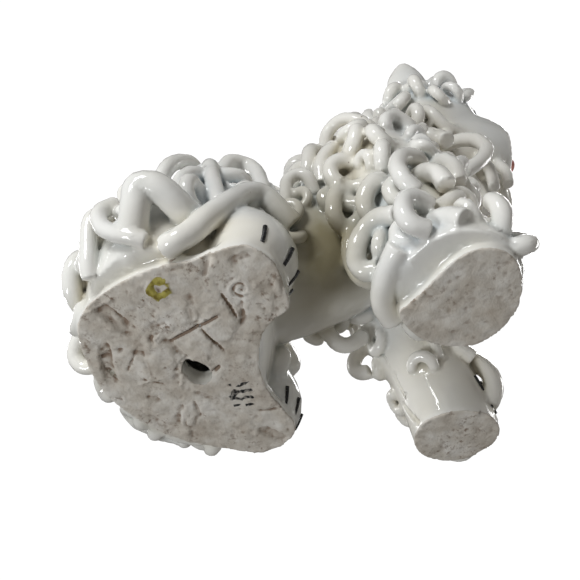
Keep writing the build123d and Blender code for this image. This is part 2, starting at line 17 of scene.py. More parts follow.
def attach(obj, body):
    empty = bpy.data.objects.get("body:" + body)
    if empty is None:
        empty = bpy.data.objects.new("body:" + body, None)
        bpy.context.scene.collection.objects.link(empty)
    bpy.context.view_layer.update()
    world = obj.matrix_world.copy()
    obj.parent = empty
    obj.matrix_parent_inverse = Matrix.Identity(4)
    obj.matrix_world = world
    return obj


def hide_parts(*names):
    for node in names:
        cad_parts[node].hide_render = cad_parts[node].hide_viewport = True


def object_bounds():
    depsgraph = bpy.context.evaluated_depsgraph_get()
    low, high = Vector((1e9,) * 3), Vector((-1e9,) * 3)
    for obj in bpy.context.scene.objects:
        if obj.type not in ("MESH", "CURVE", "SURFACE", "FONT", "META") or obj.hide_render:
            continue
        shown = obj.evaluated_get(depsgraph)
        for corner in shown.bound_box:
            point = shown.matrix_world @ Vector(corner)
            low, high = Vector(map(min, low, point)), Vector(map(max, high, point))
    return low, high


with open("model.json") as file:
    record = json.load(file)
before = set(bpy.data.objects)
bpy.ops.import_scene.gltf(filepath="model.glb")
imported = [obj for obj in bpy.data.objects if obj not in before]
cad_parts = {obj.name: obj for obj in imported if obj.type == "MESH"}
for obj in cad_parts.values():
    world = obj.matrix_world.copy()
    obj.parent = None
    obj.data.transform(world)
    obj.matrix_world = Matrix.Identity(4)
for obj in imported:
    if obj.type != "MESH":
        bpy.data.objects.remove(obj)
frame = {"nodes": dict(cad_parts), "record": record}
cad_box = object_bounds()

# ---------------------------------------------------------------------------------------------
# Driving values
# ---------------------------------------------------------------------------------------------
MM = 0.001
VOXEL = 0.9 * MM  # cell size of the distance field
ADAPTIVITY = 0.25  # how far flat stretches of skin are simplified
BAND = 4  # cells either side of a surface that hold a distance
FILLET = 2.4 * MM  # how far off two surfaces start to melt together
GLAZE = 0.25 * MM  # thickness of the glaze, which also closes the hairline gaps between coils
SEED = 7  # of every random pattern
MARK_CELL = 0.3 * MM  # cell size of the outlines of the marks on the seat
MARK_BAND = 12  # cells
SCRAPES = 60  # scraper strokes on the bare clay
SEAM = [(47, -36, 71), (53, -43, 52), (58, -49, 36), (62, -60, 8)]  # on the left foreleg, millimetres
SLIT = [(65, -50, 25), (63, -54, 15), (61, -57, 6)]  # millimetres
SEAM_RADIUS = 1.2 * MM
SLIT_RADIUS = 1.9 * MM
BELLY_SHADE_MIDDLE = np.array((-36, -8, 58)) * MM  # the belly, where a brownish painted shade darkens the glaze
BELLY_SHADE_REACH = 62 * MM

CAMERA_PLACE = Vector((-0.2340, -0.0166, -0.2498))
CAMERA_AIM = Vector((0.58525, 0.08778, 0.80608))
CAMERA_ROLL = 2.605  # degrees
LENS = 37.24  # millimetres, on a sensor of 36

CORE_NODES = [
    "haunch_shell", "torso_shell", "neck_shell", "head_shell", "muzzle", "hind_foot_right",
    "hind_foot_left", "foreleg_right", "foreleg_left", "ear_right", "ear_left", "tail_core",
]
COIL_NODES = sorted(n for n in frame["nodes"] if "coil" in n)
BARE_NODES = ["seat_slab", "forepaw_sole_right", "forepaw_sole_left"]
MARKS = ["seat_tally", "glue_ring"]  # brushed and smeared on the bare clay
FUSED_NODES = BARE_NODES + MARKS + CORE_NODES + COIL_NODES
FACE_NODES = [n for n in frame["nodes"] if n.startswith(("muzzle", "eyeball", "nose", "claws", "teeth"))]
PRESS = 0.75  # how close curls may lie, in their own radii
FACE_ROOM = 1.6  # how far they keep off the face and the claws, in their own radii
CURLS = [  # clay body, least and greatest curl radius, places tried, how near a coil a gap must be
    ("haunch_shell", (4.8 * MM, 6.4 * MM), 8000, 24 * MM),
    ("torso_shell", (4.0 * MM, 5.2 * MM), 5000, 8 * MM),
    ("foreleg_right", (4.0 * MM, 5.4 * MM), 5000, 13 * MM),
    ("foreleg_left", (3.8 * MM, 4.8 * MM), 1500, 9 * MM),
    ("neck_shell", (3.8 * MM, 4.8 * MM), 3000, 13 * MM),
    ("head_shell", (3.6 * MM, 4.4 * MM), 4000, 11 * MM),
    ("tail_core", (3.8 * MM, 4.6 * MM), 2000, 13 * MM),
]


# ---------------------------------------------------------------------------------------------
# The distance field
# ---------------------------------------------------------------------------------------------
def mesh_arrays(node):
    """A CAD node's points and triangles."""
    mesh = frame["nodes"][node].data
    mesh.calc_loop_triangles()
    points = np.empty(len(mesh.vertices) * 3, np.float32)
    corners = np.empty(len(mesh.loop_triangles) * 3, np.int32)
    mesh.vertices.foreach_get("co", points)
    mesh.loop_triangles.foreach_get("vertices", corners)
    return points.reshape(-1, 3), corners.reshape(-1, 3).astype(np.uint32)


low = np.array(cad_box[0])
high = np.array(cad_box[1])
MARGIN = 8  # empty cells kept round the part
first_cell = np.floor(low / VOXEL).astype(int) - MARGIN
cell_count = np.ceil(high / VOXEL).astype(int) + MARGIN - first_cell
FAR = BAND * VOXEL

field = np.full(cell_count, FAR, np.float32)  # the melted distance
nearest = np.full(cell_count, FAR, np.float32)  # the plain distance to the nearest solid
owner = np.zeros(cell_count, np.uint8)  # which solid that is


def blend_in(distance, start, index):
    """Melt a block of distances into the field, with a fillet where it meets what is there already."""
    here = tuple(slice(a, b) for a, b in zip(start - first_cell, start - first_cell + distance.shape))
    before = field[here]
    blend = np.clip(1 - np.abs(before - distance) / FILLET, 0, 1)
    blend[np.maximum(before, distance) >= FAR] = 0
    field[here] = np.minimum(before, distance) - blend * blend * FILLET / 4
    closer = distance < nearest[here]
    owner[here][closer] = index
    nearest[here] = np.minimum(nearest[here], distance)


def melt_in(index, node):
    """Add one CAD node to the field."""
    points, triangles = mesh_arrays(node)
    level_set = vdb.FloatGrid.createLevelSetFromPolygons(
        points, triangles=triangles, transform=vdb.createLinearTransform(VOXEL), halfWidth=BAND
    )
    start = np.floor(points.min(axis=0) / VOXEL).astype(int) - BAND - 1
    stop = np.ceil(points.max(axis=0) / VOXEL).astype(int) + BAND + 2
    distance = np.empty(stop - start, np.float32)
    level_set.copyToArray(distance, ijk=tuple(int(i) for i in start))
    blend_in(distance, start, index)


for index, node in enumerate(FUSED_NODES):
    melt_in(index, node)


# ---------------------------------------------------------------------------------------------
# Curls pressed into the gaps of the coat
# ---------------------------------------------------------------------------------------------
def tree_of(nodes):
    """A search tree of the nodes' points, and which node each point is from."""
    stacks = [(FUSED_NODES.index(n) if n in FUSED_NODES else 0, mesh_arrays(n)[0]) for n in nodes]
    tree = kdtree.KDTree(sum(len(points) for _, points in stacks))
    sources = []
    for index, points in stacks:
        for point in points:
            tree.insert(point.tolist(), len(sources))
            sources.append(index)
    tree.balance()
    return tree, sources


coil_tree, coil_sources = tree_of(COIL_NODES)
face_tree, _ = tree_of(FACE_NODES)
curl_points = np.empty((0, 4), np.float32)  # centres and radii of the curls laid so far


def spots(node, count, rng):
    """Places spread evenly over a node's surface, each with its normal."""
    points, triangles = mesh_arrays(node)
    a, b, c = (points[triangles[:, i]] for i in range(3))
    facing = np.cross(b - a, c - a)
    area = np.linalg.norm(facing, axis=1)
    pick = rng.choice(len(area), count, p=area / area.sum())
    u, v = rng.random((2, count, 1))
    over = u + v > 1
    u, v = np.where(over, 1 - u, u), np.where(over, 1 - v, v)
    place = a[pick] + u * (b - a)[pick] + v * (c - a)[pick]
    return place, facing[pick] / area[pick][:, None]


def curl_line(place, normal, radius, rng):
    """The centreline of a C-shaped curl whose two ends run into the clay."""
    bend = radius * rng.uniform(1.35, 2.1)
    turn = math.radians(rng.uniform(170, 280))
    tilt = math.radians(rng.uniform(15, 60))
    side = np.cross(normal, rng.normal(size=3))
    side /= np.linalg.norm(side)
    rise = math.sin(tilt) * normal + math.cos(tilt) * np.cross(normal, side)
    centre = place + normal * radius * rng.uniform(0.1, 0.8)
    angle = np.linspace(-turn / 2, turn / 2, 12)[:, None]
    return centre + bend * (np.cos(angle) * rise + np.sin(angle) * side)


def has_room(line, radius):
    """True where a curl would no more than press lightly on the coils around it."""
    if line[:, 2].min() < radius + 2 * MM:
        return False
    if len(curl_points):
        apart = np.linalg.norm(line[:, None, :] - curl_points[None, :, :3], axis=2)
        if (apart < radius * PRESS + curl_points[:, 3]).any():
            return False
    for point in line[1:-1]:
        to_coil = coil_tree.find(point.tolist())[2]
        to_face = face_tree.find(point.tolist())[2]
        if to_coil < radius * PRESS or to_face < radius * FACE_ROOM:
            return False
    return True


def stamp(line, radius, index, rng):
    """Melt one curl into the field, its thickness a little uneven as a hand rolls it."""
    swell = radius * (1 + 0.08 * np.sin(np.linspace(0, rng.uniform(4, 9), len(line)) + rng.uniform(0, 6)))
    start = np.floor((line.min(axis=0) - 1.1 * radius) / VOXEL).astype(int) - BAND - 1
    stop = np.ceil((line.max(axis=0) + 1.1 * radius) / VOXEL).astype(int) + BAND + 2
    start, stop = np.maximum(start, first_cell), np.minimum(stop, first_cell + cell_count)
    cells = np.stack(np.meshgrid(*(np.arange(a, b) for a, b in zip(start, stop)), indexing="ij"), axis=-1)
    cells = (cells * VOXEL).astype(np.float32)
    distance = np.full(cells.shape[:3], FAR, np.float32)
    for a, b, thick_a, thick_b in zip(line, line[1:], swell, swell[1:]):
        run = (b - a).astype(np.float32)
        t = np.clip(((cells - a.astype(np.float32)) @ run) / (run @ run), 0, 1)
        gap = np.linalg.norm(cells - a.astype(np.float32) - t[..., None] * run, axis=-1)
        distance = np.minimum(distance, gap - (thick_a + (thick_b - thick_a) * t))
    blend_in(distance.astype(np.float32), start, index)


def press_curls(node, radii, tries, reach, seed):
    """Fill the bare gaps between the coils on one clay body."""
    global curl_points
    rng = np.random.default_rng(seed)
    places, normals_here = spots(node, tries, rng)
    for number, (place, normal) in enumerate(zip(places, normals_here)):
        radius = rng.uniform(*radii) * (1 - 0.25 * number / tries)  # smaller ones fill what is left
        found, which, away = coil_tree.find(place.tolist())
        line = curl_line(place, normal, radius, rng)
        if away > reach or (np.array(found) - place) @ normal < -1 * MM:
            continue
        if not has_room(line, radius):
            continue
        stamp(line, radius, coil_sources[which], rng)
        thick = np.full((len(line), 1), radius)
        curl_points = np.vstack([curl_points, np.hstack([line, thick])])


for number, (node, radii, tries, reach) in enumerate(CURLS):
    press_curls(node, radii, tries, reach, SEED + 40 + number)


def box_blur(values, cells):
    """The mean over a cube of 2 * cells + 1 cells."""
    span = 2 * cells + 1
    for axis in range(3):
        pad = [(cells + 1, cells) if i == axis else (0, 0) for i in range(3)]
        total = np.cumsum(np.pad(values, pad, mode="edge"), axis=axis, dtype=np.float64)
        ahead = [slice(span, None) if i == axis else slice(None) for i in range(3)]
        behind = [slice(None, -span) if i == axis else slice(None) for i in range(3)]
        values = ((total[tuple(ahead)] - total[tuple(behind)]) / span).astype(np.float32)
    return values


def soften(values):
    """A light blur that rounds the creases and cut edges by about a cell."""
    for axis in range(3):
        middle = tuple(slice(1, -1) if i == axis else slice(None) for i in range(3))
        left = tuple(slice(None, -2) if i == axis else slice(None) for i in range(3))
        right = tuple(slice(2, None) if i == axis else slice(None) for i in range(3))
        blurred = values.copy()
        blurred[middle] = (values[left] + 2 * values[middle] + values[right]) / 4
        values = blurred
    return values


def lumps(size, seed):
    """Smooth noise over the whole field, of about -1 to 1, with lumps of the given size."""
    rng = np.random.default_rng(seed)
    cells = size / VOXEL
    knots = [int(n / cells) + 3 for n in cell_count]
    noise = rng.uniform(-1, 1, knots).astype(np.float32)
    for axis in range(3):
        at = np.arange(cell_count[axis]) / cells
        knot = at.astype(int)
        t = (at - knot).astype(np.float32)
        t = t * t * (3 - 2 * t)
        shape = [len(t) if i == axis else 1 for i in range(3)]
        t = t.reshape(shape)
        noise = np.take(noise, knot, axis=axis) * (1 - t) + np.take(noise, knot + 1, axis=axis) * t
    return noise


field = soften(field - GLAZE)
field += 0.35 * MM * lumps(13 * MM, SEED)
field += 0.10 * MM * lumps(4.5 * MM, SEED + 1)


# ---------------------------------------------------------------------------------------------
# The bare clay underneath: scraped, patched and gouged
# ---------------------------------------------------------------------------------------------
across = (np.arange(cell_count[0]) + first_cell[0]) * VOXEL
forward = (np.arange(cell_count[1]) + first_cell[1]) * VOXEL
ground_x, ground_y = np.meshgrid(across, forward, indexing="ij")


def turned(middle, angle):
    """Ground coordinates along and across a line through the middle at the angle."""
    dx = ground_x - middle[0] * MM
    dy = ground_y - middle[1] * MM
    angle = math.radians(angle)
    return dx * math.cos(angle) + dy * math.sin(angle), dy * math.cos(angle) - dx * math.sin(angle)


def patch(middle, length, width, angle, soft=1.5):
    """1 inside a rounded oblong on the ground, falling to 0 over a soft edge."""
    u, v = turned(middle, angle)
    reach = (np.abs(u) / (length * MM / 2)) ** 4 + (np.abs(v) / (width * MM / 2)) ** 4
    return 1 / (1 + np.exp(np.clip((reach - 1) * soft * 2, -50, 50)))


def mark_distance(node, x, y):
    """How far places on the ground are from a mark's outline; less than 0 inside it."""
    points, triangles = mesh_arrays(node)
    level_set = vdb.FloatGrid.createLevelSetFromPolygons(
        points, triangles=triangles, transform=vdb.createLinearTransform(MARK_CELL), halfWidth=MARK_BAND
    )
    start = np.floor(points.min(axis=0) / MARK_CELL).astype(int) - MARK_BAND
    stop = np.ceil(points.max(axis=0) / MARK_CELL).astype(int) + MARK_BAND
    distance = np.empty(stop - start, np.float32)
    level_set.copyToArray(distance, ijk=tuple(int(i) for i in start))
    flat = distance[:, :, (stop - start)[2] // 2]
    u = np.clip(x / MARK_CELL - start[0], 0, flat.shape[0] - 1.001)
    v = np.clip(y / MARK_CELL - start[1], 0, flat.shape[1] - 1.001)
    i, j = u.astype(int), v.astype(int)
    s, t = u - i, v - j
    near = flat[i, j] * (1 - t) + flat[i, j + 1] * t
    far = flat[i + 1, j] * (1 - t) + flat[i + 1, j + 1] * t
    return near * (1 - s) + far * s


rough = lumps(7 * MM, SEED + 2)[:, :, 0] + 0.6 * lumps(3 * MM, SEED + 3)[:, :, 0]
grit = lumps(1.8 * MM, SEED + 4)[:, :, 0]
relief = 1.5 + 0.5 * rough + 0.3 * grit  # millimetres above the ground
relief -= 1.1 * patch((-33, 52), 26, 20, 30, 4)  # clay patches pressed on and scraped flat
relief -= 1.0 * patch((-40, 74), 24, 15, 70, 4)
relief -= 0.9 * patch((-16, 66), 20, 13, 20, 4)
relief -= 1.0 * patch((-47, 28), 22, 16, 10, 4)
relief -= 0.9 * patch((-6, 92), 30, 18, 15, 3)
relief += 2.4 * patch((-30, 66), 34, 2.2, 62)  # the grooves left round them
relief += 2.0 * patch((-22, 58), 22, 1.6, -28)
relief += 2.0 * patch((-44, 44), 18, 1.6, -20)
relief += 1.8 * patch((2, 60), 9, 2.5, 40)
relief += 2.6 * patch((-40, 108), 26, 9, -35)  # gouges and chipped edges
relief += 2.2 * patch((-8, 122), 34, 7, 8)
relief += 1.8 * patch((60, 34), 20, 8, -50)
relief += 1.5 * patch((44, 104), 24, 7, 130)
scrape_rng = np.random.default_rng(SEED + 20)
for _ in range(SCRAPES):  # short strokes of a scraper, some cutting in and some smearing clay on
    middle = scrape_rng.uniform((-75, 10), (60, 130))
    length, width, angle = scrape_rng.uniform((7, 1.2, 0), (20, 4.5, 180))
    relief += scrape_rng.choice((-0.7, 0.9)) * patch(middle, length, width, angle, 2.5)
u, v = turned((-55, 36), 0)
around, out = np.arctan2(v, u), np.hypot(u, v) / MM
relief += 0.8 * np.sin(around + 1.5 * out) * np.clip(1.6 - out / 6, 0, 1)  # a stamped swirl
glue_away = mark_distance("glue_ring", ground_x, ground_y) / MM
relief -= (0.9 + 0.5 * grit) * np.clip(0.6 - glue_away, 0, 1)  # the glue stands proud of the clay
floor_height = np.clip(relief, 0.0, 6.0) * MM
height = (np.arange(cell_count[2]) + first_cell[2]) * VOXEL
near_ground = slice(0, int(9 * MM / VOXEL) - int(first_cell[2]))
field[:, :, near_ground] = np.maximum(
    field[:, :, near_ground], floor_height[:, :, None] - height[None, None, near_ground]
)


# ---------------------------------------------------------------------------------------------
# The left foreleg's lapped slab of clay: the seam of the lap, and the slit at its foot
# ---------------------------------------------------------------------------------------------
def score(a, b, radius):
    """Cut a round-bottomed groove between two places, in millimetres."""
    a, b = (np.array(place, np.float32) * MM for place in (a, b))
    start = np.floor((np.minimum(a, b) - radius) / VOXEL).astype(int) - 2
    stop = np.ceil((np.maximum(a, b) + radius) / VOXEL).astype(int) + 2
    here = tuple(slice(i, j) for i, j in zip(start - first_cell, stop - first_cell))
    cells = np.stack(np.meshgrid(*(np.arange(i, j) for i, j in zip(start, stop)), indexing="ij"), axis=-1)
    cells = (cells * VOXEL).astype(np.float32)
    t = np.clip(((cells - a) @ (b - a)) / ((b - a) @ (b - a)), 0, 1)
    gap = np.linalg.norm(cells - a - t[..., None] * (b - a), axis=-1)
    field[here] = np.maximum(field[here], radius - gap)


for route, radius in ((SEAM, SEAM_RADIUS), (SLIT, SLIT_RADIUS)):
    for a, b in zip(route, route[1:]):
        score(a, b, radius)


# ---------------------------------------------------------------------------------------------
# The skin, and the pieces it is cut into
# ---------------------------------------------------------------------------------------------
def sample(values, points):
    """The field's value at each point, between the cells."""
    scaled = points / VOXEL - first_cell
    cell = np.clip(np.floor(scaled).astype(np.int32), 0, cell_count - 2)
    t = (scaled - cell).astype(np.float32)
    total = np.zeros(len(points), np.float32)
    for dx, dy, dz in np.ndindex(2, 2, 2):
        weight = (t[:, 0] if dx else 1 - t[:, 0]) * (t[:, 1] if dy else 1 - t[:, 1])
        weight = weight * (t[:, 2] if dz else 1 - t[:, 2])
        total += weight * values[cell[:, 0] + dx, cell[:, 1] + dy, cell[:, 2] + dz]
    return total


grid = vdb.FloatGrid(FAR)
grid.copyFromArray(field, ijk=tuple(int(i) for i in first_cell))
grid.transform = vdb.createLinearTransform(VOXEL)
skin, triangles, quads = grid.convertToPolygons(isovalue=0.0, adaptivity=ADAPTIVITY)
corners = np.concatenate([triangles, quads[:, [0, 1, 2]], quads[:, [0, 2, 3]]]).astype(np.int32)

normals = np.stack(
    [sample(field, skin + step) - sample(field, skin - step) for step in np.eye(3) * VOXEL * 0.7], axis=1
)
normals /= np.maximum(np.linalg.norm(normals, axis=1, keepdims=True), 1e-12)
solid = np.clip(0.5 - field / (2 * VOXEL), 0, 1)
# the crevice value darkens tight glaze creases and bare clay recesses, partly as glaze pooling and dirt,
# partly as painted shade
crevice = sample(box_blur(box_blur(solid, 2), 2), skin)  # about 0.5 on a flat face, more in a crease
# how deep a spot lies among the clay; the glaze darkens with it, partly as glaze pooling and partly as
# painted shade
pooling_and_shade = sample(box_blur(box_blur(solid, 5), 5), skin)
edge = sample(lumps(9 * MM, SEED + 5), skin) + 0.5 * sample(lumps(3 * MM, SEED + 6), skin)
bare_limit = (1.6 + 4.2 * np.clip(-normals[:, 2], 0, 1) + 0.7 * edge) * MM
bare = np.clip(0.5 + (bare_limit - skin[:, 2]) / (0.8 * MM), 0, 1)
smear = sample(lumps(2.2 * MM, SEED + 7), skin)
low_down = (skin[:, 2] < 5 * MM) & (normals[:, 2] < -0.2)
ink = 0.5 - (mark_distance("seat_tally", skin[:, 0], skin[:, 1]) / MM - 0.5 + 0.4 * smear) / 0.5
glue = 0.5 - (mark_distance("glue_ring", skin[:, 0], skin[:, 1]) / MM + 0.9 * smear) / 0.8
ink, glue = (np.where(low_down, np.clip(mark, 0, 1), 0) for mark in (ink, glue))
# painted shade: the glaze under the belly darkens to brown, most at its middle, fading out with distance from
# it
belly_shade = 1.25 * (1 - np.linalg.norm(skin - BELLY_SHADE_MIDDLE, axis=1) / BELLY_SHADE_REACH) + 0.12 * edge
belly_shade = np.clip(belly_shade, 0, 1)
middles = skin[corners].mean(axis=1) - normals[corners[:, 0]] * VOXEL * 0.8
cells = np.clip(np.rint(middles / VOXEL - first_cell).astype(int), 0, cell_count - 1)
face_owner = owner[cells[:, 0], cells[:, 1], cells[:, 2]]
for mark, node in ((ink, "seat_tally"), (glue, "glue_ring")):
    face_owner[mark[corners].max(axis=1) > 0] = FUSED_NODES.index(node)


def skin_piece(index, node):
    """The stretch of skin that belongs to one CAD node, as a piece that replaces it."""
    mine = corners[face_owner == index]
    used, local = np.unique(mine, return_inverse=True)
    mesh = bpy.data.meshes.new(node + "_skin")
    mesh.vertices.add(len(used))
    mesh.vertices.foreach_set("co", skin[used].astype(np.float32).ravel())
    mesh.loops.add(len(mine) * 3)
    mesh.loops.foreach_set("vertex_index", local.astype(np.int32).ravel())
    mesh.polygons.add(len(mine))
    mesh.polygons.foreach_set("loop_start", np.arange(0, len(mine) * 3, 3, dtype=np.int32))
    mesh.update(calc_edges=True)
    bare_here = bare if node not in COIL_NODES else np.zeros_like(bare)
    fields = {
        "crevice": crevice, "pooling_and_shade": pooling_and_shade, "bare": bare_here, "ink": ink, "glue": glue, "belly_shade": belly_shade,
    }
    for name, values in fields.items():
        layer = mesh.attributes.new(name, "FLOAT", "POINT")
        layer.data.foreach_set("value", values[used].astype(np.float32))
    mesh.polygons.foreach_set("use_smooth", np.ones(len(mine), bool))
    mesh.normals_split_custom_set_from_vertices(normals[used].tolist())
    piece = bpy.data.objects.new(node + "_skin", mesh)
    bpy.context.scene.collection.objects.link(piece)
    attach(piece, "root")
    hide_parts(node)
    return piece


# ---------------------------------------------------------------------------------------------
# Materials
# ---------------------------------------------------------------------------------------------
def new_material(name):
    """An empty node material with its shader, and helpers to add and join nodes."""
    material = bpy.data.materials.new(name)
    material.use_nodes = True
    tree = material.node_tree
    shader = tree.nodes["Principled BSDF"]

    def add(kind, inputs=(), **settings):
        node = tree.nodes.new(kind)
        for key, value in settings.items():
            setattr(node, key, value)
        for socket, value in dict(inputs).items():
            if hasattr(value, "links"):
                tree.links.new(value, node.inputs[socket])
            else:
                node.inputs[socket].default_value = value
        return node

    def join(source, target):
        tree.links.new(source, target)

    return material, shader, add, join


def ramp(add, value, stops):
    """A colour ramp with the given stops."""
    node = add("ShaderNodeValToRGB", {"Fac": value})
    elements = node.color_ramp.elements
    while len(elements) < len(stops):
        elements.new(0.5)
    for element, (position, colour) in zip(elements, stops):
        element.position = position
        element.color = (*colour, 1) if len(colour) == 3 else (colour[0],) * 3 + (1,)
    return node.outputs["Color"]


def glaze_coat(add, place, crease, pool_and_shade):
    """The glaze's colour, roughness and ripple: cool where it pools, warm and thin on the ridges. It darkens
    in the pools and creases, partly as glaze pooling and partly as painted shade, and takes a brownish
    painted shade under the belly.
    """
    cloud = add("ShaderNodeTexNoise", {"Vector": place, "Scale": 38.0, "Detail": 4.0}).outputs["Fac"]
    # darker, and cooler or browner, the deeper it lies: partly glaze pooling, partly painted shade
    pool_and_shade_depth = add("ShaderNodeMath", {0: cloud, 1: 0.10}, operation="MULTIPLY").outputs[0]
    pool_and_shade_depth = add("ShaderNodeMath", {0: pool_and_shade_depth, 1: pool_and_shade}, operation="ADD").outputs[0]
    cool = ramp(add, pool_and_shade_depth, [
        (0.38, (0.88, 0.87, 0.84)),
        (0.58, (0.80, 0.81, 0.80)),
        (0.74, (0.60, 0.65, 0.68)),
        (0.90, (0.36, 0.42, 0.46)),
    ])
    warm = ramp(add, pool_and_shade_depth, [
        (0.38, (0.89, 0.87, 0.82)),
        (0.58, (0.80, 0.77, 0.69)),
        (0.74, (0.58, 0.54, 0.44)),
        (0.90, (0.34, 0.30, 0.22)),
    ])
    region = add("ShaderNodeTexNoise", {"Vector": place, "Scale": 11.0, "Detail": 2.0}).outputs["Fac"]
    region = ramp(add, region, [(0.42, (0, 0, 0)), (0.58, (1, 1, 1))])
    body = add("ShaderNodeMix", {0: region, 6: cool, 7: warm}, data_type="RGBA").outputs[2]
    # painted shade under the belly: the glaze colour is multiplied towards brown there
    belly_shade = add("ShaderNodeAttribute", attribute_name="belly_shade").outputs["Fac"]
    belly_shade_colour = add("ShaderNodeMix", {0: belly_shade, 6: (1, 1, 1, 1), 7: (0.42, 0.38, 0.26, 1)}, data_type="RGBA")
    shaded_body = add(
        "ShaderNodeMix", {0: 1.0, 6: body, 7: belly_shade_colour.outputs[2]}, data_type="RGBA", blend_type="MULTIPLY"
    )
    # the tightest creases darken to grey: partly glaze pooling, partly painted shade
    line = ramp(add, crease, [(0.64, (0, 0, 0)), (0.84, (1, 1, 1))])
    shaded_body = shaded_body.outputs[2]
    colour = add("ShaderNodeMix", {0: line, 6: shaded_body, 7: (0.30, 0.31, 0.29, 1)}, data_type="RGBA")
    colour = colour.outputs[2]
    speck = add("ShaderNodeTexVoronoi", {"Vector": place, "Scale": 95.0}, feature="F1").outputs["Distance"]
    speck_on = ramp(add, speck, [(0.045, (1, 1, 1)), (0.075, (0, 0, 0))])
    rare = add("ShaderNodeTexNoise", {"Vector": place, "Scale": 21.0, "Detail": 1.0}).outputs["Fac"]
    rare_on = ramp(add, rare, [(0.60, (0, 0, 0)), (0.66, (1, 1, 1))])
    both = add("ShaderNodeMath", {0: speck_on, 1: rare_on}, operation="MULTIPLY").outputs[0]
    spotted = add("ShaderNodeMix", {0: both, 6: colour, 7: (0.30, 0.24, 0.18, 1)}, data_type="RGBA")
    gloss = add("ShaderNodeTexNoise", {"Vector": place, "Scale": 60.0, "Detail": 3.0}).outputs["Fac"]
    roughness = ramp(add, gloss, [(0.3, (0.06,)), (0.75, (0.15,))])
    ripple = add("ShaderNodeTexNoise", {"Vector": place, "Scale": 210.0, "Detail": 2.0}).outputs["Fac"]
    swell = add("ShaderNodeTexNoise", {"Vector": place, "Scale": 75.0, "Detail": 2.0}).outputs["Fac"]
    height = add("ShaderNodeMath", {0: swell, 1: 0.40}, operation="MULTIPLY").outputs[0]
    height = add("ShaderNodeMath", {0: ripple, 1: 0.10, 2: height}, operation="MULTIPLY_ADD").outputs[0]
    return spotted.outputs[2], roughness, height


def bare_clay(add, place, crease):
    """Unglazed clay: pinkish beige and rough, with grit, dirt in the recesses, darkened further there as
    painted shade, and pale scrapes.
    """
    cloud = add("ShaderNodeTexNoise", {"Vector": place, "Scale": 45.0, "Detail": 6.0, "Roughness": 0.65})
    body = ramp(add, cloud.outputs["Fac"], [
        (0.30, (0.50, 0.44, 0.37)),
        (0.48, (0.68, 0.63, 0.56)),
        (0.66, (0.84, 0.81, 0.76)),
    ])
    dirt = add("ShaderNodeTexNoise", {"Vector": place, "Scale": 260.0, "Detail": 5.0, "Roughness": 0.7})
    dirt_on = ramp(add, dirt.outputs["Fac"], [(0.54, (0, 0, 0)), (0.68, (1, 1, 1))])
    where = add("ShaderNodeTexNoise", {"Vector": place, "Scale": 30.0, "Detail": 2.0}).outputs["Fac"]
    where_on = ramp(add, where, [(0.44, (0, 0, 0)), (0.60, (1, 1, 1))])
    both = add("ShaderNodeMath", {0: dirt_on, 1: where_on}, operation="MULTIPLY").outputs[0]
    # recesses darkened towards brown: partly dirt, partly painted shade
    recess_dirt_and_shade = ramp(add, crease, [(0.515, (0, 0, 0)), (0.60, (1, 1, 1))])
    dirt_and_shade = add("ShaderNodeMath", {0: both, 1: recess_dirt_and_shade}, operation="MAXIMUM").outputs[0]
    colour = add("ShaderNodeMix", {0: dirt_and_shade, 6: body, 7: (0.27, 0.20, 0.15, 1)}, data_type="RGBA")
    sand = add("ShaderNodeTexNoise", {"Vector": place, "Scale": 700.0, "Detail": 6.0, "Roughness": 0.75})
    drag = add("ShaderNodeTexNoise", {"Vector": place, "Scale": 240.0, "Detail": 4.0, "Distortion": 0.6})
    height = add("ShaderNodeMath", {0: drag.outputs["Fac"], 1: 1.2}, operation="MULTIPLY").outputs[0]
    height = add("ShaderNodeMath", {0: sand.outputs["Fac"], 1: 0.6, 2: height}, operation="MULTIPLY_ADD")
    return colour.outputs[2], height.outputs[0]


